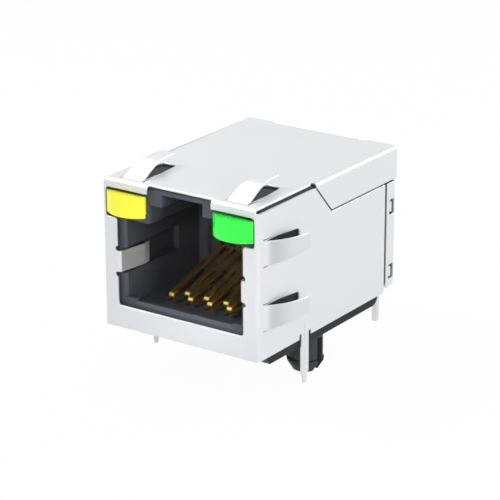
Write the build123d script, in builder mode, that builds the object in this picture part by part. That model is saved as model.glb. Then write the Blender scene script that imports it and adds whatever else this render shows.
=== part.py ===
import math
import os
from build123d import *

os.makedirs("parts", exist_ok=True)

# The origin lies on the board, midway between the two locating pegs.
# x runs to the right seen from the mouth, y runs to the rear, z runs up.

# shield, one folded sheet
shield_width = 16.0
shield_depth = 21.56
shield_height = 13.27
sheet = 0.2
fold_radius = 0.42
standoff = 0.85
rear_works_length = 10.56

# windows in the shield's front
port_window_side = 1.52
port_window_floor = 2.03
port_window_lap = 0.15
lamp_window_side = 0.38
lamp_window_cover = 0.77
window_corner = 0.3
notch_width = 6.54
notch_setback = 0.5

# spring tabs folded into the mouth
tab_low = 5.02
tab_high = 6.9
tab_reach = 3.7
tab_root_inset = 0.2
tab_crest_inset = 0.06
tab_tip_return = 0.12
tab_bend = 0.22
tab_slit = 0.42
tab_slit_out = 0.24

# spring fingers on the top and the sides
finger_root = 0.8
finger_end = 5.95
finger_root_width = 2.2
finger_tip_width = 1.25
finger_slit = 0.12
finger_hole_corner = 0.3
finger_rise = 1.1
top_finger_inset = 2.62
upper_finger_drop = 3.95
lower_finger_z = 3.7

# corner slots, side seam and rear flap
corner_slot_start = 0.1
corner_slot_end = 8.45
corner_slot_inset = 0.33
corner_slot_drop = 0.37
corner_relief_radius = 0.27
seam_gap = 0.12
seam_knee_y = 11.03
seam_knee_drop = 3.05
side_end_inset = 1.88
side_slot_inset = 1.54
tongue_inset = 0.68
tongue_low = 0.17
tongue_bridge = 0.6
flap_low = 0.44
flap_gap = 0.1
latch_window_low = 1.08
latch_window_drop = 2.97
latch_window_height = 1.36
latch_window_inset = 1.14
latch_window_length = 0.8
latch_bump_rise = 0.24
rear_notch_width = 9.9
rear_notch_depth = 0.24
rear_gap = 0.02

# ground legs, depths below the shield's lower edge
leg_front = 6.52
leg_width = 1.08
leg_shoulder_drop = 3.3
leg_tip_drop = 4.17
leg_neck_width = 0.7
leg_tip_width = 0.42
leg_relief_width = 0.34
leg_relief_height = 0.45
leg_groove_top = 1.4
leg_groove_bottom = -2.8
leg_groove_width = 0.3
leg_groove_depth = 0.07

# moulded housing
slip = 0.03
housing_setback = 0.5
housing_rear_inset = 1.38
housing_floor = 0.1
front_chamfer = 0.28
long_chamfer = 0.16
mouth_chamfer = 0.2
lip_chamfer = 0.25
rail_width = 1.12
rail_front_top = 1.42
rail_front_foot = 2.09
rail_rear_inset = 2.51
rail_round = 0.85
boss_radius = 1.8
peg_inset = 2.285
peg_lead = 0.5
peg_radius = 1.55
peg_barb_radius = 1.65
peg_barb_taper = 0.03
peg_tip_radius = 1.1
peg_groove_radius = 1.42
peg_groove_height = 0.11
peg_shoulder_drop = 2.42
peg_drop = 3.65
peg_slot = 0.71
peg_slot_top = 0.5
rib_length = 7.6
rib_thickness = 1.0

# port cavity
port_side_lap = 0.56
port_floor = 2.1
port_cover = 3.52
middle_width = 6.76
middle_cover = 1.82
latch_width = 4.2
latch_cover = 0.7
lip_height = 2.48
lip_corner_height = 2.75
lip_corner_width = 0.84
lip_depth = 0.7
channel_low = 4.88
channel_high = 7.1
channel_depth = 0.58
channel_stop = 3.0

# lamps
lamp_inner_x = 3.5
lamp_window_gap = 0.12
lamp_drop = 1.97
lens_height = 1.86
lens_setback = 0.03
lens_rim = 0.1
lens_bulge = 0.85
lamp_core_width = 3.5
lamp_core_height = 1.5
lamp_core_back = 4.5
lamp_core_clearance = 0.05
lead_size = 0.45
lead_offset = 1.1
lead_spacing = 2.54
lead_rear_inset = 0.96
lead_drop = 2.42
lead_clearance = 0.08

# contacts and their carrier
contact_count = 8
contact_pitch = 1.016
strip_width = 0.5
strip_thickness = 0.26
front_bend_y = 3.55
rear_bend_y = 4.5
contact_leg_z = 2.0
contact_bend_radius = 0.28
contact_arm_step = 0.5
contact_arm_end_z = 4.78
contact_end_bend = 60
contact_tail_step = 1.95
floor_groove_width = 0.62
floor_groove_depth = 0.36
floor_groove_start = 3.0
passage_side = 0.96
passage_low = 1.7
passage_high = 6.4
chamber_wall = 1.3
carrier_step = 0.35
carrier_length = 2.05
carrier_clearance = 0.06
comb_slot_width = 0.6
comb_slot_depth = 1.1
comb_slot_low = 3.7
strip_slot_width = 0.6

# rear chamber, pin tray, inner board and magnetics
chamber_side = 1.35
chamber_rise = 0.65
tray_clearance = 0.08
tray_step = 2.5
tray_rear_gap = 0.02
tray_low = 0.15
tray_top = 6.3
tray_lip_length = 1.02
tray_lip_height = 0.9
tray_lip_side = 0.7
tray_shelf_length = 1.1
tray_shelf_height = 1.35
coil_pocket_side = 0.65
coil_pocket_wall = 0.5
coil_pocket_length = 2.4
coil_pocket_floor = 1.3
pin_count = 8
pin_pitch = 1.27
pin_size = 0.45
pin_clearance = 0.06
pin_row_step = 5.85
pin_row_spacing = 2.54
pin_drop = 2.15
pin_top = 7.5
board_side = 0.45
board_step = 1.5
board_length = 7.5
board_low = 6.36
board_thickness = 0.8
coil_count = 4
coil_side = 0.1
coil_gap = 0.19
coil_bore = 0.55
coil_thickness = 2.0
coil_z = 3.6
capacitor_length = 3.2
capacitor_width = 1.6
capacitor_height = 1.3
capacitor_step = 3.1
resistor_count = 4
resistor_length = 0.8
resistor_width = 1.6
resistor_height = 0.5
resistor_pitch = 2.0
resistor_step = 5.6

# sizes that follow from those above: lengths run back from the shield's front,
# heights run up from its lower edge
half_width = shield_width / 2
port_back = shield_depth - rear_works_length
peg_setback = port_back - peg_lead
peg_pitch = shield_width - 2 * peg_inset
port_window_width = shield_width - 2 * port_window_side
lamp_window_width = shield_width - 2 * lamp_window_side
lamp_window_top = shield_height - lamp_window_cover
port_width = port_window_width - 2 * port_side_lap
port_roof = shield_height - port_cover
port_window_roof = port_roof + port_window_lap
middle_roof = shield_height - middle_cover
latch_roof = shield_height - latch_cover
lip_corner_inset = port_width / 2 - lip_corner_width
channel_end = port_back - channel_stop
tab_root_x = port_window_width / 2 - tab_root_inset
tab_crest_x = port_width / 2 - tab_crest_inset
tab_tip_x = tab_crest_x + tab_tip_return
top_finger_x = half_width - top_finger_inset
upper_finger_z = shield_height - upper_finger_drop
corner_slot_top_edge = half_width - corner_slot_inset
corner_slot_side_edge = shield_height - corner_slot_drop
seam_knee_z = shield_height - seam_knee_drop
flap_high = seam_knee_z - flap_gap
latch_window_high = flap_high - latch_window_drop
side_end = shield_depth - side_end_inset
side_slot_end = shield_depth - side_slot_inset
tongue_end = shield_depth - tongue_inset
latch_window_start = shield_depth - latch_window_inset
housing_end = shield_depth - housing_rear_inset
housing_length = housing_end - housing_setback
rail_end = shield_depth - rail_rear_inset
lens_width = lamp_window_width / 2 - lamp_window_gap - lamp_inner_x
lamp_x = lamp_inner_x + lens_width / 2
lamp_z = shield_height - lamp_drop
lead_outer_x = lamp_x + lead_offset
lead_y = shield_depth - lead_rear_inset
passage_width = port_width - 2 * passage_side
chamber_front = port_back + chamber_wall
chamber_width = shield_width - 2 * chamber_side
chamber_roof = port_roof + chamber_rise
carrier_front = port_back + carrier_step
contact_arm_end_y = port_back + contact_arm_step
contact_tail_y = port_back + contact_tail_step
tray_front = port_back + tray_step
tray_length = housing_end + tray_rear_gap - tray_front
coil_pocket_width = chamber_width - 2 * coil_pocket_side
coil_pocket_front = tray_front + coil_pocket_wall
coil_pitch = (coil_pocket_width - 2 * coil_side) / coil_count
coil_radius = (coil_pitch - coil_gap) / 2
pin_row_front = port_back + pin_row_step
pin_row_rear = pin_row_front + pin_row_spacing
board_width = chamber_width - 2 * board_side
board_front = port_back + board_step

# places in the part's own frame
front_y = -peg_setback
low_z = standoff
top_z = low_z + shield_height
housing_half = half_width - sheet - slip
housing_front = front_y + housing_setback
housing_top = top_z - sheet - slip
housing_bottom = low_z + housing_floor
seat_z = 0.0
peg_x = peg_pitch / 2
leg_y = front_y + leg_front + leg_width / 2
mouth_plane = Plane.XZ.offset(-front_y)
housing_plane = Plane.XZ.offset(-housing_front)

# one outward-bowed spring finger, made flat on z = 0 with its root at the mouth end
with BuildPart() as finger:
    with BuildSketch(Plane.YZ) as finger_profile:
        with BuildLine() as finger_curve:
            Spline(
                (finger_root - 0.15, -sheet / 2),
                (finger_root + 0.1, -sheet / 2 + 0.03),
                (finger_root + 0.8, finger_rise * 0.25),
                (finger_root + 1.5, finger_rise * 0.55),
                (finger_root + 2.3, finger_rise * 0.8),
                (finger_root + 3.3, finger_rise * 0.95),
                (finger_root + 4.3, finger_rise),
                (finger_end, finger_rise * 0.97),
            )
        trace(line_width=sheet)
    extrude(amount=finger_root_width, both=True)
    with BuildSketch(Plane.XY.offset(-1)) as finger_plan:
        with BuildLine() as finger_outline:
            Polyline(
                (-finger_root_width / 2, finger_root - 0.3),
                (finger_root_width / 2, finger_root - 0.3),
                (finger_root_width / 2, finger_root),
                (finger_tip_width / 2, finger_end + 0.2),
                (-finger_tip_width / 2, finger_end + 0.2),
                (-finger_root_width / 2, finger_root),
                close=True,
            )
        make_face()
    extrude(amount=4, mode=Mode.INTERSECT)

with BuildPart() as finger_hole:
    with BuildSketch(Plane.XY.offset(-1)) as finger_hole_plan:
        with BuildLine() as finger_hole_outline:
            Polyline(
                (-finger_root_width / 2 - finger_slit, finger_root),
                (finger_root_width / 2 + finger_slit, finger_root),
                (finger_tip_width / 2 + finger_slit, finger_end + finger_slit),
                (-finger_tip_width / 2 - finger_slit, finger_end + finger_slit),
                close=True,
            )
        make_face()
        fillet(finger_hole_plan.vertices().sort_by(Axis.Y)[-2:], radius=finger_hole_corner)
    extrude(amount=2)

finger_planes = []
for side in (-1, 1):
    finger_planes.append(
        Plane(origin=(side * top_finger_x, front_y, top_z), x_dir=(1, 0, 0), z_dir=(0, 0, 1))
    )
    for finger_z in (lower_finger_z, upper_finger_z):
        finger_planes.append(
            Plane(
                origin=(side * half_width, front_y, low_z + finger_z),
                x_dir=(0, 0, -side),
                z_dir=(side, 0, 0),
            )
        )

# round holes that end the corner slots, square to the fold
corner_relief_planes = []
for side in (-1, 1):
    corner_relief_planes.append(
        Plane(
            origin=(
                side * (half_width - fold_radius),
                front_y + corner_slot_end,
                top_z - fold_radius,
            ),
            x_dir=(0, 1, 0),
            z_dir=(side, 0, 1),
        )
    )

# room inside the folded sheet
with BuildPart() as shield_room:
    with Locations((0, front_y + sheet, low_z - 1)):
        Box(
            shield_width - 2 * sheet,
            shield_depth,
            shield_height - sheet + 1,
            align=(Align.CENTER, Align.MIN, Align.MIN),
        )
    room_uprights = shield_room.edges().filter_by(Axis.Z).group_by(Axis.Y)[0]
    room_top = shield_room.faces().sort_by(Axis.Z)[-1].edges()
    room_sides = room_top.filter_by(Axis.Y)
    room_front = room_top.filter_by(Axis.X).sort_by(Axis.Y)[0]
    fillet(room_uprights + room_sides + [room_front], radius=fold_radius - sheet)

# one spring tab of the mouth, on the right side
with BuildPart() as mouth_tab:
    with BuildSketch(Plane.XY.offset(low_z + tab_low)) as tab_plan:
        with BuildLine() as tab_curve:
            FilletPolyline(
                (port_window_width / 2 + 0.25, front_y + sheet / 2),
                (tab_root_x, front_y + sheet / 2),
                (tab_crest_x, front_y + tab_reach * 0.78),
                (tab_tip_x, front_y + tab_reach),
                radius=tab_bend,
            )
        trace(line_width=sheet)
    extrude(amount=tab_high - tab_low)

with BuildPart() as shield:
    with Locations((0, front_y, low_z)):
        Box(
            shield_width,
            shield_depth,
            shield_height,
            align=(Align.CENTER, Align.MIN, Align.MIN),
        )
    shell_uprights = shield.edges().filter_by(Axis.Z).group_by(Axis.Y)[0]
    shell_top = shield.faces().sort_by(Axis.Z)[-1].edges()
    shell_sides = shell_top.filter_by(Axis.Y)
    shell_front = shell_top.filter_by(Axis.X).sort_by(Axis.Y)[0]
    fillet(shell_uprights + shell_sides + [shell_front], radius=fold_radius)
    add(shield_room.part, mode=Mode.SUBTRACT)

    # port window with the lamp windows and the slits beside the tabs
    with BuildSketch(mouth_plane) as front_windows:
        with BuildLine() as window_line:
            Polyline(
                (0, low_z + port_window_floor),
                (port_window_width / 2, low_z + port_window_floor),
                (port_window_width / 2, low_z + port_window_roof),
                (lamp_window_width / 2, low_z + port_window_roof),
                (lamp_window_width / 2, low_z + lamp_window_top),
                (0, low_z + lamp_window_top),
                close=True,
            )
        make_face()
        window_corners = front_windows.vertices().sort_by(Axis.X)[2:]
        fillet(window_corners, radius=window_corner)
        with Locations(
            (port_window_width / 2, low_z + tab_low - tab_slit / 2),
            (port_window_width / 2, low_z + tab_high + tab_slit / 2),
        ):
            SlotOverall(2 * tab_slit_out, tab_slit)
        mirror(about=Plane.YZ)
    extrude(amount=-1, mode=Mode.SUBTRACT)
    with BuildSketch(mouth_plane.offset(1)) as notch_sketch:
        with Locations((0, low_z + lamp_window_top - 1)):
            Rectangle(notch_width, 4, align=(Align.CENTER, Align.MIN))
    extrude(amount=-1 - notch_setback, mode=Mode.SUBTRACT)

    # slots left open along the two long corners near the mouth
    with BuildSketch(mouth_plane.offset(-corner_slot_start)) as corner_slots:
        with Locations((corner_slot_top_edge, low_z + corner_slot_side_edge)):
            Rectangle(1, 1, align=(Align.MIN, Align.MIN))
        mirror(about=Plane.YZ)
    extrude(amount=-(corner_slot_end - corner_slot_start), mode=Mode.SUBTRACT)
    with Locations(corner_relief_planes):
        Cylinder(
            corner_relief_radius,
            1,
            align=(Align.CENTER, Align.CENTER, Align.MIN),
            mode=Mode.SUBTRACT,
        )

    # seam between the top's side flaps and the side panels
    with BuildSketch(Plane.YZ) as seam_sketch:
        with BuildLine() as seam_line:
            Polyline(
                (front_y + corner_slot_end - 0.1, low_z + corner_slot_side_edge + 0.15),
                (front_y + seam_knee_y - 0.04, low_z + seam_knee_z - seam_gap / 2),
                (front_y + shield_depth + 1, low_z + seam_knee_z - seam_gap / 2),
                (front_y + shield_depth + 1, low_z + seam_knee_z + seam_gap / 2),
                (front_y + seam_knee_y + 0.04, low_z + seam_knee_z + seam_gap / 2),
                (front_y + corner_slot_end + 0.08, low_z + corner_slot_side_edge + 0.15),
                close=True,
            )
        make_face()
        with BuildLine() as side_end_line:
            Polyline(
                (front_y + side_end - 0.1, low_z - 1),
                (front_y + side_end - 0.1, low_z + 0.03),
                (front_y + side_end, low_z + 0.3),
                (front_y + side_end, low_z + seam_knee_z),
                (front_y + shield_depth + 1, low_z + seam_knee_z),
                (front_y + shield_depth + 1, low_z - 1),
                close=True,
            )
        make_face()
    extrude(amount=half_width + 1, both=True, mode=Mode.SUBTRACT)

    # shallow notch in the top's rear edge
    with Locations((0, front_y + shield_depth - rear_notch_depth, top_z - 1)):
        Box(
            rear_notch_width,
            1,
            2,
            align=(Align.CENTER, Align.MIN, Align.MIN),
            mode=Mode.SUBTRACT,
        )

    # tongues that step in under the rear cover's flaps
    with BuildSketch(Plane.XY.offset(low_z + tongue_low)) as tongue_bridge_plan:
        with BuildLine() as tongue_bridge_line:
            Polyline(
                (half_width, front_y + side_end - 0.15),
                (half_width, front_y + side_end),
                (half_width - sheet - slip, front_y + side_end + 0.27),
                (half_width - sheet - slip, front_y + tongue_end),
                (half_width - 2 * sheet - slip, front_y + tongue_end),
                (half_width - 2 * sheet - slip, front_y + side_end + 0.22),
                (half_width - sheet, front_y + side_end - 0.05),
                (half_width - sheet, front_y + side_end - 0.15),
                close=True,
            )
        make_face()
        mirror(about=Plane.YZ)
    extrude(amount=tongue_bridge - tongue_low)
    with BuildSketch(Plane.XY.offset(low_z + tongue_low)) as tongue_plan:
        with Locations((half_width - sheet - slip, front_y + side_slot_end)):
            Rectangle(sheet, tongue_end - side_slot_end, align=(Align.MAX, Align.MIN))
        mirror(about=Plane.YZ)
    extrude(amount=flap_high - tongue_low - 0.3)

    # latch bumps that snap into the rear cover's windows
    with BuildSketch(Plane.XY.offset(low_z + latch_window_low + 0.2)) as bump_plan:
        with BuildLine() as bump_line:
            Polyline(
                (half_width - sheet - slip - 0.05, front_y + latch_window_start + 0.05),
                (
                    half_width - sheet - slip + latch_bump_rise,
                    front_y + latch_window_start + 0.26,
                ),
                (
                    half_width - sheet - slip + latch_bump_rise,
                    front_y + latch_window_start + 0.37,
                ),
                (
                    half_width - sheet - slip - 0.05,
                    front_y + latch_window_start + 0.44,
                ),
                close=True,
            )
        make_face()
        mirror(about=Plane.YZ)
    extrude(amount=latch_window_height - 0.4)
    extrude(
        bump_plan.sketch.moved(Location((0, 0, latch_window_high - latch_window_low))),
        amount=latch_window_height - 0.4,
    )

    # ground legs on the two sides, with a stiffening groove
    with BuildSketch(Plane.YZ) as leg_reliefs:
        with Locations(
            (leg_y - leg_width / 2 - leg_relief_width / 2, low_z),
            (leg_y + leg_width / 2 + leg_relief_width / 2, low_z),
        ):
            Rectangle(leg_relief_width, 2 * leg_relief_height)
        relief_tops = leg_reliefs.vertices().group_by(Axis.Y)[-1]
        fillet(relief_tops, radius=0.12)
    extrude(amount=half_width + 1, both=True, mode=Mode.SUBTRACT)
    with BuildSketch(Plane.YZ.offset(half_width - sheet)) as leg_sketch:
        with BuildLine() as leg_line:
            Polyline(
                (leg_y - leg_width / 2, low_z + 0.6),
                (leg_y - leg_width / 2, low_z - leg_shoulder_drop + 0.1),
                (leg_y - leg_neck_width / 2, low_z - leg_shoulder_drop - 0.1),
                (leg_y - leg_tip_width / 2, low_z - leg_tip_drop),
                (leg_y + leg_tip_width / 2, low_z - leg_tip_drop),
                (leg_y + leg_neck_width / 2, low_z - leg_shoulder_drop - 0.1),
                (leg_y + leg_width / 2, low_z - leg_shoulder_drop + 0.1),
                (leg_y + leg_width / 2, low_z + 0.6),
                close=True,
            )
        make_face()
    leg_solid = extrude(amount=sheet)
    mirror(leg_solid, about=Plane.YZ)
    with BuildSketch(Plane.YZ.offset(half_width - leg_groove_depth)) as groove_sketch:
        with Locations((leg_y, low_z + (leg_groove_top + leg_groove_bottom) / 2)):
            SlotOverall(
                leg_groove_top - leg_groove_bottom,
                leg_groove_width,
                rotation=90,
            )
    groove_solid = extrude(amount=1, mode=Mode.PRIVATE)
    add(groove_solid, mode=Mode.SUBTRACT)
    mirror(groove_solid, about=Plane.YZ, mode=Mode.SUBTRACT)

    # spring fingers and the openings they are bent from
    with Locations(finger_planes):
        add(finger_hole.part, mode=Mode.SUBTRACT)
    for finger_plane in finger_planes:
        with Locations(finger_plane):
            add(finger.part)

    # spring tabs in the mouth
    add(mouth_tab.part)
    mirror(mouth_tab.part, about=Plane.YZ)

shield.part.label = "shield"
export_step(shield.part, "parts/shield.step")

# rear cover, a second folded sheet that snaps over the side tongues
with BuildPart() as rear_cover:
    with BuildSketch(Plane.XY.offset(low_z + flap_low)) as cover_plan:
        with Locations((0, front_y + side_slot_end)):
            Rectangle(
                shield_width,
                shield_depth - side_slot_end - rear_gap,
                align=(Align.CENTER, Align.MIN),
            )
        cover_corners = cover_plan.vertices().group_by(Axis.Y)[-1]
        fillet(cover_corners, radius=fold_radius)
        with Locations((0, front_y + side_slot_end - 1)):
            Rectangle(
                shield_width - 2 * sheet,
                shield_depth - side_slot_end - rear_gap - sheet + 1,
                align=(Align.CENTER, Align.MIN),
                mode=Mode.SUBTRACT,
            )
        inner_corners = cover_plan.vertices().group_by(Axis.Y)[-2]
        fillet(inner_corners, radius=fold_radius - sheet)
    extrude(amount=flap_high - flap_low)
    with BuildSketch(Plane.XZ.offset(-(front_y + shield_depth - rear_gap))) as cover_face:
        with Locations((0, low_z + flap_high - 1)):
            Rectangle(
                shield_width - 2 * sheet - 2 * slip,
                shield_height - sheet - rear_gap - flap_high + 1,
                align=(Align.CENTER, Align.MIN),
            )
        cover_top_corners = cover_face.vertices().group_by(Axis.Y)[-1]
        fillet(cover_top_corners, radius=fold_radius - sheet)
        with Locations((0, low_z + flap_high)):
            Rectangle(
                rear_notch_width - 2 * seam_gap,
                shield_height - flap_high,
                align=(Align.CENTER, Align.MIN),
            )
    extrude(amount=sheet)
    with BuildSketch(Plane.YZ) as latch_windows:
        with Locations(
            (
                front_y + latch_window_start + latch_window_length / 2,
                low_z + latch_window_low + latch_window_height / 2,
            ),
            (
                front_y + latch_window_start + latch_window_length / 2,
                low_z + latch_window_high + latch_window_height / 2,
            ),
        ):
            RectangleRounded(latch_window_length, latch_window_height, 0.12)
    extrude(amount=half_width + 1, both=True, mode=Mode.SUBTRACT)

rear_cover.part.label = "rear_cover"
export_step(rear_cover.part, "parts/rear_cover.step")

# moulded housing with the port, the lamp pockets, the rear chamber and the pegs
with BuildPart() as housing:
    with Locations((0, housing_front, housing_bottom)):
        Box(
            2 * housing_half,
            housing_length,
            housing_top - housing_bottom,
            align=(Align.CENTER, Align.MIN, Align.MIN),
        )
    front_top_edge = housing.faces().sort_by(Axis.Y)[0].edges().sort_by(Axis.Z)[-1]
    chamfer(front_top_edge, length=front_chamfer)
    long_top_edges = housing.faces().sort_by(Axis.Z)[-1].edges().filter_by(Axis.Y)
    chamfer(long_top_edges, length=long_chamfer)

    # side rails that stand on the board
    with BuildSketch(Plane.YZ.offset(housing_half - rail_width)) as rail_sketch:
        with BuildLine() as rail_line:
            Polyline(
                (front_y + rail_front_top, housing_bottom),
                (front_y + rail_front_foot, seat_z),
                (front_y + rail_end, seat_z),
                (front_y + rail_end, housing_bottom),
                close=True,
            )
        make_face()
        rail_heel = rail_sketch.vertices().group_by(Axis.Y)[0].sort_by(Axis.X)[-1]
        fillet(rail_heel, radius=rail_round)
    rail_solid = extrude(amount=rail_width)
    mirror(rail_solid, about=Plane.YZ)

    # bosses and a cross rib between the pegs
    with BuildSketch(Plane.XY) as foot_sketch:
        with Locations((-peg_x, 0), (peg_x, 0)):
            Circle(boss_radius)
        Rectangle(rib_length, rib_thickness)
    extrude(amount=housing_bottom + 0.2)

    # port cavity with its keyed roof
    with BuildSketch(housing_plane) as port_sketch:
        with BuildLine() as port_line:
            Polyline(
                (0, low_z + port_floor),
                (port_width / 2, low_z + port_floor),
                (port_width / 2, low_z + port_roof),
                (middle_width / 2, low_z + port_roof),
                (middle_width / 2, low_z + middle_roof),
                (latch_width / 2, low_z + middle_roof),
                (latch_width / 2, low_z + latch_roof),
                (0, low_z + latch_roof),
                close=True,
            )
        make_face()
        mirror(about=Plane.YZ)
    extrude(amount=-(port_back - housing_setback), mode=Mode.SUBTRACT)

    # lip at the mouth's floor
    with BuildSketch(housing_plane) as lip_sketch:
        with BuildLine() as lip_line:
            Polyline(
                (0, low_z + port_floor - 0.2),
                (port_width / 2 + 0.1, low_z + port_floor - 0.2),
                (port_width / 2 + 0.1, low_z + lip_corner_height),
                (lip_corner_inset, low_z + lip_corner_height),
                (lip_corner_inset, low_z + lip_height),
                (0, low_z + lip_height),
                close=True,
            )
        make_face()
        mirror(about=Plane.YZ)
    extrude(amount=-lip_depth)

    # channels in the side walls for the shield's spring tabs
    with BuildSketch(Plane.YZ) as channel_sketch:
        with Locations((housing_front, low_z + channel_low)):
            Rectangle(
                channel_end - housing_setback,
                channel_high - channel_low,
                align=(Align.MIN, Align.MIN),
            )
    extrude(amount=port_width / 2 + channel_depth, both=True, mode=Mode.SUBTRACT)

    # lamp pockets and the tunnels of the lamp leads
    with BuildSketch(housing_plane) as pocket_sketch:
        with Locations((-lamp_x, low_z + lamp_z), (lamp_x, low_z + lamp_z)):
            Rectangle(
                lamp_core_width + 2 * lamp_core_clearance,
                lamp_core_height + 2 * lamp_core_clearance,
            )
    extrude(amount=-(lamp_core_back - housing_setback), mode=Mode.SUBTRACT)
    with BuildSketch(housing_plane) as tunnel_sketch:
        with Locations(
            (-lead_outer_x, low_z + lamp_z),
            (-lead_outer_x + lead_spacing, low_z + lamp_z),
            (lead_outer_x - lead_spacing, low_z + lamp_z),
            (lead_outer_x, low_z + lamp_z),
        ):
            Rectangle(lead_size + 2 * lead_clearance, lead_size + 2 * lead_clearance)
    extrude(amount=-housing_length - 1, mode=Mode.SUBTRACT)

    # grooves in the floor for the contacts' lower legs
    with BuildSketch(Plane.XY.offset(low_z + port_floor)) as groove_plan:
        with Locations((0, front_y + (floor_groove_start + port_back) / 2)):
            with GridLocations(contact_pitch, 1, contact_count, 1):
                Rectangle(floor_groove_width, port_back - floor_groove_start)
    extrude(amount=-floor_groove_depth, mode=Mode.SUBTRACT)

    # passage from the port into the rear chamber
    with BuildSketch(Plane.XZ.offset(-(front_y + port_back - 0.1))) as passage_sketch:
        with Locations((0, low_z + passage_low)):
            Rectangle(
                passage_width,
                passage_high - passage_low,
                align=(Align.CENTER, Align.MIN),
            )
    extrude(amount=-(chamber_front - port_back + 0.2), mode=Mode.SUBTRACT)

    # rear chamber, open to the rear and below
    with BuildSketch(Plane.XZ.offset(-(front_y + chamber_front))) as chamber_sketch:
        with Locations((0, -1)):
            Rectangle(
                chamber_width,
                low_z + chamber_roof + 1,
                align=(Align.CENTER, Align.MIN),
            )
    extrude(amount=-housing_length, mode=Mode.SUBTRACT)

    # lead-in chamfers at the mouth's sides and on the lip
    with BuildSketch(Plane.XY.offset(low_z + lip_corner_height)) as mouth_chamfers:
        with BuildLine() as mouth_chamfer_line:
            Polyline(
                (port_width / 2 - 0.1, housing_front - 0.1),
                (port_width / 2 + mouth_chamfer + 0.1, housing_front - 0.1),
                (port_width / 2 - 0.1, housing_front + mouth_chamfer + 0.1),
                close=True,
            )
        make_face()
        mirror(about=Plane.YZ)
    extrude(amount=port_roof - lip_corner_height, mode=Mode.SUBTRACT)
    with BuildSketch(Plane.YZ) as lip_chamfer_sketch:
        with BuildLine() as lip_chamfer_line:
            Polyline(
                (housing_front - 0.1, low_z + lip_height + 0.1),
                (housing_front - 0.1, low_z + lip_height - lip_chamfer - 0.1),
                (housing_front + lip_chamfer + 0.1, low_z + lip_height + 0.1),
                close=True,
            )
        make_face()
    extrude(amount=lip_corner_inset, both=True, mode=Mode.SUBTRACT)

    # relief for the shield's tongues at the rear
    with BuildSketch(Plane.XY.offset(-1)) as relief_plan:
        with Locations((housing_half - sheet - slip, front_y + side_end - 0.2)):
            Rectangle(half_width, shield_depth, align=(Align.MIN, Align.MIN))
        mirror(about=Plane.YZ)
    extrude(amount=shield_height + 3, mode=Mode.SUBTRACT)

    # split locating pegs
    with BuildSketch(Plane.XZ) as peg_profile:
        with BuildLine() as peg_line:
            Polyline(
                (0, seat_z + 0.3),
                (peg_radius, seat_z + 0.3),
                (peg_radius, -peg_shoulder_drop),
                (peg_groove_radius, -peg_shoulder_drop),
                (peg_groove_radius, -peg_shoulder_drop - peg_groove_height),
                (peg_barb_radius, -peg_shoulder_drop - peg_groove_height),
                (peg_barb_radius - peg_barb_taper, -peg_shoulder_drop - 0.38),
                (peg_tip_radius, -peg_drop),
                (0, -peg_drop),
                close=True,
            )
        make_face()
    peg_solid = revolve(axis=Axis.Z, mode=Mode.PRIVATE)
    with Locations((-peg_x, 0), (peg_x, 0)):
        add(peg_solid)
    with Locations((-peg_x, 0, -peg_slot_top), (peg_x, 0, -peg_slot_top)):
        Box(
            2 * boss_radius,
            peg_slot,
            peg_drop,
            align=(Align.CENTER, Align.CENTER, Align.MAX),
            mode=Mode.SUBTRACT,
        )

housing.part.label = "housing"
export_step(housing.part, "parts/housing.step")

# lamp bodies: a bowed lens in the window, a slimmer core in the housing's pocket
with BuildPart() as lamp_body:
    with BuildSketch(Plane.XY.offset(low_z + lamp_z - lens_height / 2)) as lens_plan:
        with BuildLine() as lens_line:
            Polyline(
                (lamp_x - lens_width / 2, front_y + lens_setback),
                (lamp_x - lens_width / 2, front_y + lens_setback + lens_rim),
                (lamp_x + lens_width / 2, front_y + lens_setback + lens_rim),
                (lamp_x + lens_width / 2, front_y + lens_setback),
            )
            ThreePointArc(
                (lamp_x + lens_width / 2, front_y + lens_setback),
                (lamp_x, front_y + lens_setback - lens_bulge),
                (lamp_x - lens_width / 2, front_y + lens_setback),
            )
        make_face()
    extrude(amount=lens_height)
    with Locations((lamp_x, front_y + lens_setback + lens_rim - 0.05, low_z + lamp_z)):
        Box(
            lamp_core_width,
            lamp_core_back - lens_setback - lens_rim + 0.05,
            lamp_core_height,
            align=(Align.CENTER, Align.MIN, Align.CENTER),
        )

lamp_green = lamp_body.part
lamp_green.label = "lamp_green"
export_step(lamp_green, "parts/lamp_green.step")

with BuildPart() as lamp_yellow:
    mirror(lamp_body.part, about=Plane.YZ)

lamp_yellow.part.label = "lamp_yellow"
export_step(lamp_yellow.part, "parts/lamp_yellow.step")

# lamp leads: back along the tunnels, then down behind the tray to the board
lead_places = {
    "lamp_lead_1": -lead_outer_x,
    "lamp_lead_2": -lead_outer_x + lead_spacing,
    "lamp_lead_3": lead_outer_x - lead_spacing,
    "lamp_lead_4": lead_outer_x,
}
for lead_name, lead_x in lead_places.items():
    with BuildPart() as lamp_lead:
        with BuildSketch(Plane.YZ.offset(lead_x - lead_size / 2)) as lead_sketch:
            with BuildLine() as lead_line:
                Polyline(
                    (front_y + lamp_core_back, low_z + lamp_z + lead_size / 2),
                    (front_y + lead_y + lead_size / 2, low_z + lamp_z + lead_size / 2),
                    (front_y + lead_y + lead_size / 2, -lead_drop),
                    (front_y + lead_y - lead_size / 2, -lead_drop),
                    (front_y + lead_y - lead_size / 2, low_z + lamp_z - lead_size / 2),
                    (front_y + lamp_core_back, low_z + lamp_z - lead_size / 2),
                    close=True,
                )
            make_face()
        extrude(amount=lead_size)
        lead_tip = lamp_lead.faces().sort_by(Axis.Z)[0].edges()
        chamfer(lead_tip, length=0.1)
    lamp_lead.part.label = lead_name
    export_step(lamp_lead.part, f"parts/{lead_name}.step")

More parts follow.
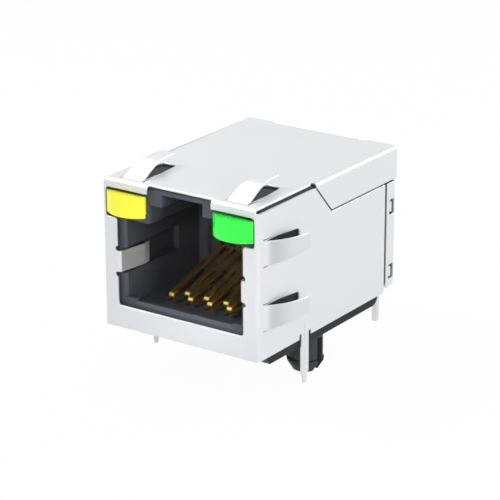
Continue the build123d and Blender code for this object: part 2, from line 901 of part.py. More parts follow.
# carrier that holds the contacts, with a comb for their free ends
with BuildPart() as contact_carrier:
    with Locations((0, front_y + carrier_front, low_z + passage_low + carrier_clearance)):
        Box(
            passage_width - 2 * carrier_clearance,
            carrier_length,
            tray_top - passage_low - carrier_clearance,
            align=(Align.CENTER, Align.MIN, Align.MIN),
        )
    with BuildSketch(Plane.XZ.offset(-(front_y + carrier_front))) as comb_sketch:
        with GridLocations(contact_pitch, 1, contact_count, 1):
            with Locations((0, low_z + comb_slot_low)):
                Rectangle(comb_slot_width, 4, align=(Align.CENTER, Align.MIN))
    extrude(amount=-comb_slot_depth, mode=Mode.SUBTRACT)
    with BuildSketch(Plane.XZ.offset(-(front_y + carrier_front))) as leg_slot_sketch:
        with GridLocations(contact_pitch, 1, contact_count, 1):
            with Locations((0, low_z)):
                Rectangle(
                    strip_slot_width,
                    contact_leg_z + strip_slot_width / 2,
                    align=(Align.CENTER, Align.MIN),
                )
    extrude(
        amount=-(contact_tail_y + strip_slot_width / 2 - carrier_front),
        mode=Mode.SUBTRACT,
    )
    with BuildSketch(Plane.XY) as tail_slot_sketch:
        with Locations((0, front_y + contact_tail_y)):
            with GridLocations(contact_pitch, 1, contact_count, 1):
                Rectangle(strip_slot_width, strip_slot_width)
    extrude(amount=low_z + tray_top + 1, mode=Mode.SUBTRACT)

contact_carrier.part.label = "contact_carrier"
export_step(contact_carrier.part, "parts/contact_carrier.step")

# eight flat contact strips, their bends in two staggered rows
for contact_index in range(contact_count):
    contact_x = (contact_index - (contact_count - 1) / 2) * contact_pitch
    bend_y = front_bend_y + strip_thickness / 2 + contact_bend_radius
    if contact_index % 2 == 1:
        bend_y = rear_bend_y + strip_thickness / 2 + contact_bend_radius
    arm_run = contact_arm_end_y - bend_y
    arm_climb = contact_arm_end_z - contact_leg_z - contact_bend_radius
    arm_angle = math.degrees(
        math.atan2(arm_climb, arm_run)
        - math.asin(contact_bend_radius / math.hypot(arm_run, arm_climb))
    )
    with BuildPart() as contact:
        with BuildSketch(Plane.YZ.offset(contact_x)) as contact_side:
            with BuildLine() as contact_path:
                FilletPolyline(
                    (front_y + contact_tail_y, low_z + pin_top - 0.1),
                    (front_y + contact_tail_y, low_z + contact_leg_z),
                    (front_y + bend_y, low_z + contact_leg_z),
                    radius=0.3,
                )
                loop = JernArc(
                    start=(front_y + bend_y, low_z + contact_leg_z),
                    tangent=(-1, 0),
                    radius=contact_bend_radius,
                    arc_size=-(180 - arm_angle),
                )
                arm = Line(loop @ 1, (front_y + contact_arm_end_y, low_z + contact_arm_end_z))
                JernArc(
                    start=arm @ 1,
                    tangent=arm % 1,
                    radius=0.3,
                    arc_size=-contact_end_bend,
                )
            trace(line_width=strip_thickness)
        extrude(amount=strip_width / 2, both=True)
    contact.part.label = f"contact_{contact_index + 1}"
    export_step(contact.part, f"parts/contact_{contact_index + 1}.step")

# tray that carries the solder pins and the coils
with BuildPart() as pin_tray:
    with Locations((0, front_y + tray_front, low_z + tray_low)):
        Box(
            chamber_width - 2 * tray_clearance,
            tray_length,
            tray_top - tray_low,
            align=(Align.CENTER, Align.MIN, Align.MIN),
        )
    with Locations((0, front_y + tray_front + tray_length, low_z + tray_low)):
        Box(
            chamber_width + 2 * tray_lip_side,
            tray_lip_length,
            tray_lip_height,
            align=(Align.CENTER, Align.MIN, Align.MIN),
        )
    with Locations((0, front_y + tray_front, low_z + tray_low)):
        Box(
            chamber_width - 2 * tray_clearance,
            tray_shelf_length,
            tray_shelf_height,
            align=(Align.CENTER, Align.MAX, Align.MIN),
        )
    with Locations((0, front_y + coil_pocket_front, low_z + coil_pocket_floor)):
        Box(
            coil_pocket_width,
            coil_pocket_length,
            tray_top,
            align=(Align.CENTER, Align.MIN, Align.MIN),
            mode=Mode.SUBTRACT,
        )
    with BuildSketch(Plane.XY) as tray_holes:
        with Locations(
            (-pin_pitch / 2, front_y + pin_row_front),
            (pin_pitch / 2, front_y + pin_row_rear),
        ):
            with GridLocations(2 * pin_pitch, 1, pin_count // 2, 1):
                Rectangle(pin_size + 2 * pin_clearance, pin_size + 2 * pin_clearance)
        with Locations(
            (-lead_outer_x, front_y + lead_y),
            (-lead_outer_x + lead_spacing, front_y + lead_y),
            (lead_outer_x - lead_spacing, front_y + lead_y),
            (lead_outer_x, front_y + lead_y),
        ):
            Rectangle(lead_size + 2 * pin_clearance, lead_size + 2 * pin_clearance)
    extrude(amount=low_z + tray_top + 1, mode=Mode.SUBTRACT)

pin_tray.part.label = "pin_tray"
export_step(pin_tray.part, "parts/pin_tray.step")

# eight solder pins in two staggered rows
for pin_index in range(pin_count):
    pin_x = (pin_index - (pin_count - 1) / 2) * pin_pitch
    pin_y = front_y + pin_row_front
    if pin_index % 2 == 1:
        pin_y = front_y + pin_row_rear
    with BuildPart() as solder_pin:
        with Locations((pin_x, pin_y, -pin_drop)):
            Box(
                pin_size,
                pin_size,
                low_z + pin_top + pin_drop,
                align=(Align.CENTER, Align.CENTER, Align.MIN),
            )
        pin_tip = solder_pin.faces().sort_by(Axis.Z)[0].edges()
        chamfer(pin_tip, length=0.1)
    solder_pin.part.label = f"solder_pin_{pin_index + 1}"
    export_step(solder_pin.part, f"parts/solder_pin_{pin_index + 1}.step")

# inner circuit board on top of the tray and the carrier
with BuildPart() as inner_board:
    with Locations((0, front_y + board_front, low_z + board_low)):
        Box(
            board_width,
            board_length,
            board_thickness,
            align=(Align.CENTER, Align.MIN, Align.MIN),
        )
    with BuildSketch(Plane.XY.offset(low_z + board_low)) as board_holes:
        with Locations(
            (-pin_pitch / 2, front_y + pin_row_front),
            (pin_pitch / 2, front_y + pin_row_rear),
        ):
            with GridLocations(2 * pin_pitch, 1, pin_count // 2, 1):
                Rectangle(pin_size + 2 * pin_clearance, pin_size + 2 * pin_clearance)
        with Locations((0, front_y + contact_tail_y)):
            with GridLocations(contact_pitch, 1, contact_count, 1):
                Rectangle(strip_slot_width, strip_slot_width)
    extrude(amount=board_thickness, mode=Mode.SUBTRACT)

inner_board.part.label = "inner_board"
export_step(inner_board.part, "parts/inner_board.step")

# four wound ring cores in the tray's pocket
for coil_index in range(coil_count):
    coil_x = (coil_index - (coil_count - 1) / 2) * coil_pitch
    coil_y = front_y + coil_pocket_front + coil_pocket_length / 2
    with BuildPart() as coil:
        with BuildSketch(Plane.XZ.offset(-(coil_y - coil_thickness / 2))) as coil_ring:
            with Locations((coil_x, low_z + coil_z)):
                Circle(coil_radius)
                Circle(coil_bore, mode=Mode.SUBTRACT)
        extrude(amount=-coil_thickness)
    coil.part.label = f"coil_{coil_index + 1}"
    export_step(coil.part, f"parts/coil_{coil_index + 1}.step")

# chip parts on the inner board
with BuildPart() as capacitor:
    with Locations((0, front_y + board_front + capacitor_step, low_z + board_low + board_thickness)):
        Box(
            capacitor_length,
            capacitor_width,
            capacitor_height,
            align=(Align.CENTER, Align.CENTER, Align.MIN),
        )

capacitor.part.label = "capacitor"
export_step(capacitor.part, "parts/capacitor.step")

for resistor_index in range(resistor_count):
    resistor_x = (resistor_index - (resistor_count - 1) / 2) * resistor_pitch
    with BuildPart() as resistor:
        with Locations(
            (
                resistor_x,
                front_y + board_front + resistor_step,
                low_z + board_low + board_thickness,
            )
        ):
            Box(
                resistor_length,
                resistor_width,
                resistor_height,
                align=(Align.CENTER, Align.CENTER, Align.MIN),
            )
    resistor.part.label = f"resistor_{resistor_index + 1}"
    export_step(resistor.part, f"parts/resistor_{resistor_index + 1}.step")
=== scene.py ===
import math

import bmesh
import bpy
from mathutils import Matrix, Vector
from mathutils.bvhtree import BVHTree
from mathutils.geometry import intersect_point_line


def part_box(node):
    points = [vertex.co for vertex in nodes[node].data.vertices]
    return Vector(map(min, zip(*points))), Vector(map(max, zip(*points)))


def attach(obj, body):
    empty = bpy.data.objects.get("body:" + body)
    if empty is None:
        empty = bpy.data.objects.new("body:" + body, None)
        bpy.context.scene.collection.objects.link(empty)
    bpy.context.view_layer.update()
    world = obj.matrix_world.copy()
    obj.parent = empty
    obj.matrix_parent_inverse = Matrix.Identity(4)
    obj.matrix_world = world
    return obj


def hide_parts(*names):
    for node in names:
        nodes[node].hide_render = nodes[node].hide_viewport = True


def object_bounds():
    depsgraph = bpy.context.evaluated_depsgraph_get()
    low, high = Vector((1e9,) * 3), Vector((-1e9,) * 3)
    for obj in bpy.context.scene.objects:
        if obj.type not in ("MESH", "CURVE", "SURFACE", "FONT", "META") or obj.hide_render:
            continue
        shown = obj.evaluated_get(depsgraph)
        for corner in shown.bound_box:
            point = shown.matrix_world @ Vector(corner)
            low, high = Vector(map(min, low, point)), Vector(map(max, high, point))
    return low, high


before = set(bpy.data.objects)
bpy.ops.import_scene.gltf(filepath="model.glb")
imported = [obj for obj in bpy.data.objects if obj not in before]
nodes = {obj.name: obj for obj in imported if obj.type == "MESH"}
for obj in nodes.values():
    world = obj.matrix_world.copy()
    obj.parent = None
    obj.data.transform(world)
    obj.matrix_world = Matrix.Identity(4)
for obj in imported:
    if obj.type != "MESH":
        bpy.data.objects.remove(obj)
cadLow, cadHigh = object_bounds()
mm = 0.001
print("frame loaded:", len(nodes), "nodes")


def newMaterial(name):
    material = bpy.data.materials.new(name)
    material.use_nodes = True
    tree = material.node_tree
    tree.nodes.clear()
    output = tree.nodes.new("ShaderNodeOutputMaterial")
    shader = tree.nodes.new("ShaderNodeBsdfPrincipled")
    tree.links.new(shader.outputs["BSDF"], output.inputs["Surface"])
    return material, tree, shader


def addNode(tree, kind, settings=None, values=None):
    node = tree.nodes.new(kind)
    for key, value in (settings or {}).items():
        setattr(node, key, value)
    for key, value in (values or {}).items():
        node.inputs[key].default_value = value
    return node


# a colour ramp starts with two stops, and every stop gets its place in the last loop
def addRamp(tree, factor, stops):
    ramp = tree.nodes.new("ShaderNodeValToRGB")
    elements = ramp.color_ramp.elements
    while len(elements) < len(stops):
        elements.new(stops[len(elements)][0])
    for element, (position, colour) in zip(elements, stops):
        element.position = position
        element.color = (*colour, 1)
    tree.links.new(factor, ramp.inputs["Fac"])
    return ramp


# the colour sockets of a Mix node share their names with others, so they go by number
mixSockets = {"factor": 0, "first": 6, "second": 7, "result": 2}


def mixColours(tree, first, second, blend="MIX"):
    settings = {"data_type": "RGBA", "blend_type": blend}
    node = addNode(tree, "ShaderNodeMix", settings, {mixSockets["factor"]: 1.0})
    tree.links.new(first, node.inputs[mixSockets["first"]])
    tree.links.new(second, node.inputs[mixSockets["second"]])
    return node


def newGroup(name, inputs, outputs):
    group = bpy.data.node_groups.new(name, "ShaderNodeTree")
    for label, kind, value in inputs:
        socket = group.interface.new_socket(name=label, in_out="INPUT", socket_type=kind)
        if value is not None:
            socket.default_value = value
    for label, kind in outputs:
        group.interface.new_socket(name=label, in_out="OUTPUT", socket_type=kind)
    start = group.nodes.new("NodeGroupInput")
    end = group.nodes.new("NodeGroupOutput")
    return group, start, end


def placeGroup(tree, group, values):
    node = tree.nodes.new("ShaderNodeGroup")
    node.node_tree = group
    for key, value in values.items():
        node.inputs[key].default_value = value
    return node


# fine grain with a broad cloud over it, shared by every metal and plastic
def makeSurfaceGrain():
    group, start, end = newGroup(
        "surfaceGrain",
        [
            ("Coordinates", "NodeSocketVector", None),
            ("Grain Scale", "NodeSocketFloat", 9000.0),
            ("Cloud Scale", "NodeSocketFloat", 300.0),
            ("Base Roughness", "NodeSocketFloat", 0.4),
            ("Roughness Spread", "NodeSocketFloat", 0.1),
            ("Light Colour", "NodeSocketColor", (0.8, 0.8, 0.8, 1)),
            ("Dark Colour", "NodeSocketColor", (0.7, 0.7, 0.7, 1)),
        ],
        [
            ("Colour", "NodeSocketColor"),
            ("Roughness", "NodeSocketFloat"),
            ("Height", "NodeSocketFloat"),
        ],
    )
    link = group.links.new
    grain = addNode(group, "ShaderNodeTexNoise", values={"Detail": 2.0, "Roughness": 0.6})
    cloud = addNode(group, "ShaderNodeTexNoise", values={"Detail": 4.0, "Roughness": 0.55})
    for texture, scale in ((grain, "Grain Scale"), (cloud, "Cloud Scale")):
        link(start.outputs["Coordinates"], texture.inputs["Vector"])
        link(start.outputs[scale], texture.inputs["Scale"])
    both = addNode(group, "ShaderNodeMath", {"operation": "ADD"})
    link(grain.outputs["Fac"], both.inputs[0])
    link(cloud.outputs["Fac"], both.inputs[1])
    centred = addNode(group, "ShaderNodeMath", {"operation": "SUBTRACT"}, {1: 1.0})
    link(both.outputs[0], centred.inputs[0])
    rough = addNode(group, "ShaderNodeMath", {"operation": "MULTIPLY_ADD"})
    link(centred.outputs[0], rough.inputs[0])
    link(start.outputs["Roughness Spread"], rough.inputs[1])
    link(start.outputs["Base Roughness"], rough.inputs[2])
    halving = {"operation": "MULTIPLY", "use_clamp": True}
    half = addNode(group, "ShaderNodeMath", halving, {1: 0.5})
    link(both.outputs[0], half.inputs[0])
    tint = mixColours(group, start.outputs["Dark Colour"], start.outputs["Light Colour"])
    link(half.outputs[0], tint.inputs[mixSockets["factor"]])
    link(tint.outputs[mixSockets["result"]], end.inputs["Colour"])
    link(rough.outputs[0], end.inputs["Roughness"])
    link(grain.outputs["Fac"], end.inputs["Height"])
    return group


surfaceGrain = makeSurfaceGrain()


# painted light and shade: a tone that changes with the distance from the frame's origin along
# one axis
def paintedShadingColour(tree, place, colour, tone):
    link = tree.links.new
    split = tree.nodes.new("ShaderNodeSeparateXYZ")
    link(place.outputs["Object"], split.inputs[0])
    distance = addNode(tree, "ShaderNodeMath", {"operation": "ABSOLUTE"})
    link(split.outputs[tone["axis"]], distance.inputs[0])
    spread = addNode(
        tree, "ShaderNodeMapRange", values={"From Min": tone["from"], "From Max": tone["to"]}
    )
    link(distance.outputs[0], spread.inputs["Value"])
    ramp = addRamp(tree, spread.outputs["Result"], tone["stops"])
    toned = mixColours(tree, colour, ramp.outputs["Color"], "MULTIPLY")
    return toned.outputs[mixSockets["result"]]


def grainedMaterial(name, look):
    material, tree, shader = newMaterial(name)
    place = addNode(tree, "ShaderNodeTexCoord")
    grain = placeGroup(
        tree,
        surfaceGrain,
        {
            "Grain Scale": look["grainScale"],
            "Cloud Scale": look["cloudScale"],
            "Base Roughness": look["roughness"],
            "Roughness Spread": look["spread"],
            "Light Colour": (*look["light"], 1),
            "Dark Colour": (*look["dark"], 1),
        },
    )
    bump = addNode(
        tree,
        "ShaderNodeBump",
        values={"Strength": look["bump"], "Distance": look["bumpHeight"]},
    )
    link = tree.links.new
    link(place.outputs["Object"], grain.inputs["Coordinates"])
    colour = grain.outputs["Colour"]
    # painted light and shade, multiplied over the grained colour
    for tone in look.get("paintedShading", []):
        colour = paintedShadingColour(tree, place, colour, tone)
    link(colour, shader.inputs["Base Color"])
    link(grain.outputs["Roughness"], shader.inputs["Roughness"])
    link(grain.outputs["Height"], bump.inputs["Height"])
    link(bump.outputs["Normal"], shader.inputs["Normal"])
    shader.inputs["Metallic"].default_value = look["metallic"]
    shader.inputs["Specular IOR Level"].default_value = look.get("specular", 0.4)
    return material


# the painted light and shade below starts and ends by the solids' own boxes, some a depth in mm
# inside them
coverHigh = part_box("rear_cover")[1]
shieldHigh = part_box("shield")[1]
mouldLow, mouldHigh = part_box("housing")
paintedShadingDepths = {"side": 0.17, "top": 0.15, "mouthBack": 0.34, "mouthFront": 0.24}

looks = {
    "shieldMetal": {
        "grainScale": 9000.0,
        "cloudScale": 260.0,
        "roughness": 0.31,
        "spread": 0.09,
        "light": (0.79, 0.80, 0.82),
        "dark": (0.735, 0.745, 0.765),
        "bump": 0.25,
        "bumpHeight": 0.006 * mm,
        "metallic": 0.6,
        "specular": 0.3,
        # painted shade: the sprung fingers of the sides are darker halfway out along their bow
        # and lighter again towards their outer ends
        "paintedShading": [
            {
                "axis": "X",
                "from": coverHigh.x,
                "to": shieldHigh.x,
                "stops": [
                    (0.08, (1.0, 1.0, 1.0)),
                    (0.28, (0.71, 0.72, 0.735)),
                    (0.5, (0.71, 0.72, 0.735)),
                    (0.95, (0.92, 0.92, 0.93)),
                ],
            },
        ],
    },
    "tinnedMetal": {
        "grainScale": 6000.0,
        "cloudScale": 500.0,
        "roughness": 0.34,
        "spread": 0.14,
        "light": (0.78, 0.785, 0.79),
        "dark": (0.66, 0.665, 0.67),
        "bump": 0.3,
        "bumpHeight": 0.008 * mm,
        "metallic": 1.0,
    },
    "contactGold": {
        "grainScale": 2500.0,
        "cloudScale": 700.0,
        "roughness": 0.25,
        "spread": 0.05,
        "light": (1.0, 0.73, 0.27),
        "dark": (0.93, 0.58, 0.16),
        "bump": 0.03,
        "bumpHeight": 0.004 * mm,
        "metallic": 0.93,
        "specular": 0.3,
    },
    "housingPlastic": {
        "grainScale": 7000.0,
        "cloudScale": 350.0,
        "roughness": 0.3,
        "spread": 0.1,
        "light": (0.08, 0.084, 0.094),
        "dark": (0.055, 0.058, 0.067),
        "bump": 0.3,
        "bumpHeight": 0.008 * mm,
        "metallic": 0.0,
        "specular": 0.05,
        # painted shade: the moulding's outer skin, close under the sheet, is darker than its
        # mouth
        "paintedShading": [
            {
                "axis": "X",
                "from": mouldHigh.x - paintedShadingDepths["side"] * mm,
                "to": mouldHigh.x,
                "stops": [(0.2, (1.0, 1.0, 1.0)), (0.9, (0.45, 0.45, 0.46))],
            },
            {
                "axis": "Z",
                "from": mouldHigh.z - paintedShadingDepths["top"] * mm,
                "to": mouldHigh.z,
                "stops": [(0.2, (1.0, 1.0, 1.0)), (0.9, (0.4, 0.4, 0.41))],
            },
            # painted highlight: the front edges of the mouth are lighter
            {
                "axis": "Y",
                "from": -mouldLow.y - paintedShadingDepths["mouthBack"] * mm,
                "to": -mouldLow.y - paintedShadingDepths["mouthFront"] * mm,
                "stops": [(0.0, (1.0, 1.0, 1.0)), (1.0, (1.4, 1.42, 1.48))],
            },
        ],
    },
    "carrierPlastic": {
        "grainScale": 6500.0,
        "cloudScale": 350.0,
        "roughness": 0.55,
        "spread": 0.14,
        "light": (0.06, 0.062, 0.068),
        "dark": (0.038, 0.04, 0.046),
        "bump": 0.35,
        "bumpHeight": 0.01 * mm,
        "metallic": 0.0,
    },
    "boardLaminate": {
        "grainScale": 5000.0,
        "cloudScale": 500.0,
        "roughness": 0.4,
        "spread": 0.12,
        "light": (0.03, 0.2, 0.08),
        "dark": (0.015, 0.11, 0.045),
        "bump": 0.4,
        "bumpHeight": 0.01 * mm,
        "metallic": 0.0,
    },
    "coilCore": {
        "grainScale": 8000.0,
        "cloudScale": 700.0,
        "roughness": 0.6,
        "spread": 0.2,
        "light": (0.09, 0.085, 0.08),
        "dark": (0.05, 0.045, 0.042),
        "bump": 0.5,
        "bumpHeight": 0.015 * mm,
        "metallic": 0.0,
    },
    "chipCeramic": {
        "grainScale": 8000.0,
        "cloudScale": 900.0,
        "roughness": 0.55,
        "spread": 0.15,
        "light": (0.55, 0.4, 0.27),
        "dark": (0.4, 0.28, 0.18),
        "bump": 0.3,
        "bumpHeight": 0.008 * mm,
        "metallic": 0.0,
    },
    "chipResistor": {
        "grainScale": 8000.0,
        "cloudScale": 900.0,
        "roughness": 0.35,
        "spread": 0.12,
        "light": (0.03, 0.03, 0.034),
        "dark": (0.018, 0.018, 0.02),
        "bump": 0.2,
        "bumpHeight": 0.006 * mm,
        "metallic": 0.0,
    },
}
materials = {name: grainedMaterial(name, look) for name, look in looks.items()}


# lens plastic with a faint painted glow in its own colour, which lifts it brighter than the
# light falling on it
def lampMaterial(name, look):
    material, tree, shader = newMaterial(name)
    link = tree.links.new
    place = addNode(tree, "ShaderNodeTexCoord")
    grain = placeGroup(
        tree,
        surfaceGrain,
        {
            "Grain Scale": look["grainScale"],
            "Cloud Scale": look["cloudScale"],
            "Base Roughness": look["roughness"],
            "Roughness Spread": look["spread"],
            "Light Colour": (*look["light"], 1),
            "Dark Colour": (*look["dark"], 1),
        },
    )
    link(place.outputs["Object"], grain.inputs["Coordinates"])
    link(grain.outputs["Colour"], shader.inputs["Base Color"])
    link(grain.outputs["Colour"], shader.inputs["Emission Color"])
    link(grain.outputs["Roughness"], shader.inputs["Roughness"])
    # painted glow: the lens shines a little in its own colour
    shader.inputs["Emission Strength"].default_value = look["glow"]
    shader.inputs["IOR"].default_value = look["refraction"]
    return material


lampLooks = {
    "yellowLens": {
        "light": (1.0, 0.98, 0.055),
        "dark": (0.95, 0.9, 0.035),
        "grainScale": 5000.0,
        "cloudScale": 500.0,
        "roughness": 0.28,
        "spread": 0.08,
        "refraction": 1.49,
        "glow": 0.12,
    },
    "greenLens": {
        "light": (0.035, 0.98, 0.075),
        "dark": (0.01, 0.85, 0.035),
        "grainScale": 5000.0,
        "cloudScale": 500.0,
        "roughness": 0.28,
        "spread": 0.08,
        "refraction": 1.49,
        "glow": 0.12,
    },
}
for name, look in lampLooks.items():
    materials[name] = lampMaterial(name, look)
print("materials made:", len(materials))

nodeFinish = {
    "shield": "shieldMetal",
    "rear_cover": "shieldMetal",
    "housing": "housingPlastic",
    "contact_carrier": "carrierPlastic",
    "pin_tray": "carrierPlastic",
    "lamp_yellow": "yellowLens",
    "lamp_green": "greenLens",
    "inner_board": "boardLaminate",
    "capacitor": "chipCeramic",
}
for stem, finish, count in (
    ("contact_", "contactGold", 8),
    ("solder_pin_", "tinnedMetal", 8),
    ("lamp_lead_", "tinnedMetal", 4),
    ("coil_", "coilCore", 4),
    ("resistor_", "chipResistor", 4),
):
    for index in range(count):
        nodeFinish[f"{stem}{index + 1}"] = finish

for name, finish in nodeFinish.items():
    slots = nodes[name].data.materials
    slots.clear()
    slots.append(materials[finish])
print("nodes dressed:", len(nodeFinish))


# the gap in mm, bends in degrees, and both reaches as shares of a rounding's width
rounding = {
    "mergeGap": 0.0005,
    "flatBend": 0.3,
    "foldBend": 8,
    "sharpBend": 30,
    "sharedShade": 50,
    "segments": 2,
    "passes": 2,
    "crowdReach": 1.7,
    "strayReach": 1.5,
}


# smooth shading in which a wide flat face stays flat up to its rounded rim
def shadeByArea(mesh):
    mesh.update()
    closest = math.cos(math.radians(rounding["sharedShade"]))
    around = [[] for _ in mesh.vertices]
    for face in mesh.polygons:
        for index in face.vertices:
            around[index].append((face.normal.copy(), face.area))
    normals = []
    for face in mesh.polygons:
        for index in face.vertices:
            total = Vector()
            for normal, area in around[index]:
                if normal.dot(face.normal) > closest:
                    total += normal * area
            normals.append(total.normalized())
    mesh.normals_split_custom_set(normals)


# points so close to a sharp edge that its rounding would run over them, folds left out
def crowdedPoints(shape, reach):
    sharpBend = math.radians(rounding["sharpBend"])
    foldBend = math.radians(rounding["foldBend"])
    sharp = {edge for edge in shape.edges if edge.calc_face_angle(0) > sharpBend}
    corners = {point for edge in sharp for point in edge.verts}
    crowded = []
    for point in shape.verts:
        onFold = any(edge.calc_face_angle(0) > foldBend for edge in point.link_edges)
        if point in corners or onFold:
            continue
        rims = {edge for face in point.link_faces for edge in face.edges if edge in sharp}
        for edge in rims:
            start, end = edge.verts[0].co, edge.verts[1].co
            near, share = intersect_point_line(point.co, start, end)
            near = start.lerp(end, min(max(share, 0.0), 1.0))
            if (point.co - near).length < reach:
                crowded.append(point)
                break
    return crowded


# a CAD shape again with its stamped or moulded edges slightly rounded
def roundedCopy(nodeName, look):
    width = look["width"] * mm
    shape = bmesh.new()
    shape.from_mesh(nodes[nodeName].data)
    bmesh.ops.remove_doubles(shape, verts=shape.verts, dist=rounding["mergeGap"] * mm)
    bmesh.ops.dissolve_limit(
        shape,
        angle_limit=math.radians(rounding["flatBend"]),
        verts=shape.verts,
        edges=shape.edges,
        delimit=set(),
    )
    for _ in range(rounding["passes"]):
        crowded = crowdedPoints(shape, rounding["crowdReach"] * width)
        bmesh.ops.dissolve_verts(shape, verts=crowded)
    for face in shape.faces:
        face.smooth = True
    data = bpy.data.meshes.new(look["piece"])
    shape.to_mesh(data)
    surface = BVHTree.FromBMesh(shape)
    shape.free()
    data.materials.append(materials[look["finish"]])
    piece = bpy.data.objects.new(look["piece"], data)
    bpy.context.scene.collection.objects.link(piece)
    edge = piece.modifiers.new("roundEdges", "BEVEL")
    edge.width = width
    edge.segments = rounding["segments"]
    edge.limit_method = "ANGLE"
    edge.angle_limit = math.radians(rounding["sharpBend"])
    edge.use_clamp_overlap = False
    finished = piece.evaluated_get(bpy.context.evaluated_depsgraph_get())
    rounded = bpy.data.meshes.new_from_object(finished)
    piece.modifiers.clear()
    piece.data = rounded
    bpy.data.meshes.remove(data)
    rounded.name = look["piece"]
    # a point that slid past its corner goes back onto the shape
    for point in rounded.vertices:
        near, _, _, gap = surface.find_nearest(point.co)
        if gap > rounding["strayReach"] * width:
            point.co = near
    shadeByArea(rounded)
    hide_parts(nodeName)
    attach(piece, "root")


roundedLooks = {
    "shield": {
        "piece": "shieldShell",
        "finish": "shieldMetal",
        "slot": "shield_metal",
        "width": 0.06,
    },
    "rear_cover": {
        "piece": "rearCoverShell",
        "finish": "shieldMetal",
        "slot": "shield_metal",
        "width": 0.045,
    },
    "housing": {
        "piece": "mouldedHousing",
        "finish": "housingPlastic",
        "slot": "housing_plastic",
        "width": 0.05,
    },
}
for index in range(8):
    roundedLooks[f"contact_{index + 1}"] = {
        "piece": f"contactStrip{index + 1}",
        "finish": "contactGold",
        "slot": "contact_gold",
        "width": 0.03,
    }
for nodeName, look in roundedLooks.items():
    roundedCopy(nodeName, look)
print("rounded pieces made:", len(roundedLooks))


# one for rays that look at the room directly, in a reflection or through glass
def seenDirectly(tree):
    path = tree.nodes.new("ShaderNodeLightPath")
    seen = path.outputs["Is Camera Ray"]
    for ray in ("Is Glossy Ray", "Is Transmission Ray"):
        either = addNode(tree, "ShaderNodeMath", {"operation": "MAXIMUM"})
        tree.links.new(seen, either.inputs[0])
        tree.links.new(path.outputs[ray], either.inputs[1])
        seen = either.outputs[0]
    return seen


def mixShaders(tree, factor, first, second):
    node = tree.nodes.new("ShaderNodeMixShader")
    for socket, source in zip(node.inputs, (factor, first, second)):
        tree.links.new(source, socket)
    return node.outputs[0]


# white room: the world and the floor look white to the camera and in reflections
worldLook = {
    "ambient": (0.96, 0.97, 1.0),
    "ambientLevel": 0.38,
    "white": (1.0, 1.0, 1.0),
    "whiteLevel": 1.0,
}


def makeWorld(look):
    world = bpy.data.worlds.new("whiteRoom")
    bpy.context.scene.world = world
    world.use_nodes = True
    tree = world.node_tree
    tree.nodes.clear()
    sides = []
    for name in ("ambient", "white"):
        values = {"Color": (*look[name], 1), "Strength": look[name + "Level"]}
        sides.append(addNode(tree, "ShaderNodeBackground", values=values).outputs[0])
    output = tree.nodes.new("ShaderNodeOutputWorld")
    tree.links.new(mixShaders(tree, seenDirectly(tree), *sides), output.inputs["Surface"])


floorLook = {
    "size": 3.0,
    "colour": (0.95, 0.95, 0.95),
    "roughness": 0.9,
    "specular": 0.1,
    "glow": 1.0,
    "white": 0.97,
}


# a pale floor that keeps the jack's shadow, and is clear when it is seen from below
def floorMaterial(look):
    material, tree, shader = newMaterial("paleFloor")
    shader.inputs["Base Color"].default_value = (*look["colour"], 1)
    shader.inputs["Roughness"].default_value = look["roughness"]
    shader.inputs["Specular IOR Level"].default_value = look["specular"]
    glowValues = {"Color": (1, 1, 1, 1), "Strength": look["glow"]}
    glow = addNode(tree, "ShaderNodeEmission", values=glowValues)
    share = addNode(tree, "ShaderNodeMath", {"operation": "MULTIPLY"}, {1: look["white"]})
    tree.links.new(seenDirectly(tree), share.inputs[0])
    above = mixShaders(tree, share.outputs[0], shader.outputs[0], glow.outputs[0])
    side = tree.nodes.new("ShaderNodeNewGeometry")
    clear = tree.nodes.new("ShaderNodeBsdfTransparent")
    both = mixShaders(tree, side.outputs["Backfacing"], above, clear.outputs[0])
    tree.links.new(both, tree.nodes["Material Output"].inputs["Surface"])
    return material


def makeFloor(look):
    shape = bmesh.new()
    bmesh.ops.create_grid(shape, x_segments=1, y_segments=1, size=look["size"] / 2)
    bmesh.ops.translate(shape, vec=(0, 0, cadLow.z), verts=shape.verts)
    data = bpy.data.meshes.new("floor")
    shape.to_mesh(data)
    shape.free()
    data.materials.append(floorMaterial(look))
    floor = bpy.data.objects.new("floor", data)
    bpy.context.scene.collection.objects.link(floor)


makeWorld(worldLook)
makeFloor(floorLook)
print("white room made")

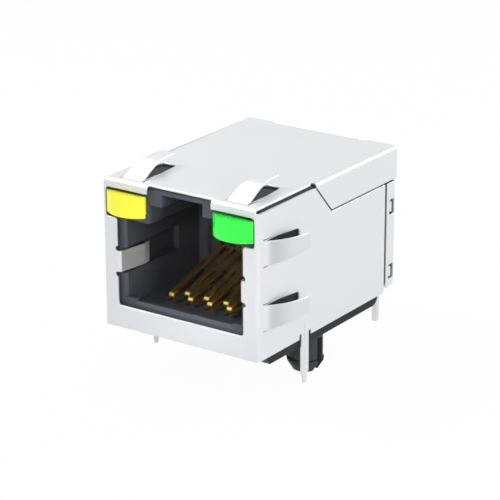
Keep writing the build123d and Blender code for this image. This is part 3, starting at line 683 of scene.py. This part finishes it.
# softboxes aimed at the middle of the jack, and a narrow one aimed into its port
softboxes = {
    "keyBox": {"place": (204, -70, 60), "size": 50, "watts": 0.18, "colour": (1, 0.995, 0.99)},
    "leftBox": {"place": (-124, -50, 168), "size": 60, "watts": 0.18, "colour": (0.98, 0.99, 1)},
    "mouthBox": {"place": (60, -190, 70), "size": 60, "watts": 0.02},
    "portBox": {
        "place": (22, -80, 34),
        "aim": (0.0, -3.0, 4.0),
        "size": 8,
        "spread": 12,
        "watts": 0.00024,
    },
    "fingerBox": {"place": (-107, 64, 163), "size": 40, "watts": 0.03},
    "topBox": {"place": (20, 30, 200), "size": 90, "watts": 0.02},
    "rearBox": {"place": (90, 170, 90), "size": 80, "watts": 0.08},
}
plainBox = {"aim": (0.0, 0.0, 7.0), "spread": 180, "colour": (1, 1, 1)}


def makeSoftbox(name, box):
    lamp = bpy.data.lights.new(name, "AREA")
    lamp.shape = "SQUARE"
    lamp.size = box["size"] * mm
    lamp.energy = box["watts"]
    lamp.color = box["colour"]
    lamp.spread = math.radians(box["spread"])
    holder = bpy.data.objects.new(name, lamp)
    holder.location = Vector(box["place"]) * mm
    beam = Vector(box["aim"]) * mm - holder.location
    holder.rotation_mode = "QUATERNION"
    holder.rotation_quaternion = beam.to_track_quat("-Z", "Y")
    bpy.context.scene.collection.objects.link(holder)


for name, box in softboxes.items():
    makeSoftbox(name, {**plainBox, **box})
print("softboxes placed:", len(softboxes))

# camera at the photograph's place
cameraLook = {
    "place": (106.215, -152.888, 73.224),
    "target": (1.687, -2.556, 7.141),
    "roll": -0.191,
    "lens": 163.72,
    "sensor": 36.0,
    "nearest": 10.0,
    "furthest": 20000.0,
}


def makeCamera(look):
    camera = bpy.data.cameras.new("photoCamera")
    camera.lens = look["lens"]
    camera.sensor_width = look["sensor"]
    camera.clip_start = look["nearest"] * mm
    camera.clip_end = look["furthest"] * mm
    eye = Vector(look["place"]) * mm
    forward = (Vector(look["target"]) * mm - eye).normalized()
    right = forward.cross(Vector((0, 0, 1))).normalized()
    up = right.cross(forward)
    roll = math.radians(look["roll"])
    tiltedRight = right * math.cos(roll) + up * math.sin(roll)
    tiltedUp = up * math.cos(roll) - right * math.sin(roll)
    turn = Matrix((tiltedRight, tiltedUp, -forward)).transposed().to_4x4()
    holder = bpy.data.objects.new("photoCamera", camera)
    holder.matrix_world = Matrix.Translation(eye) @ turn
    bpy.context.scene.collection.objects.link(holder)
    bpy.context.scene.camera = holder


makeCamera(cameraLook)
bpy.context.scene.view_settings.view_transform = "Standard"
print("camera placed")
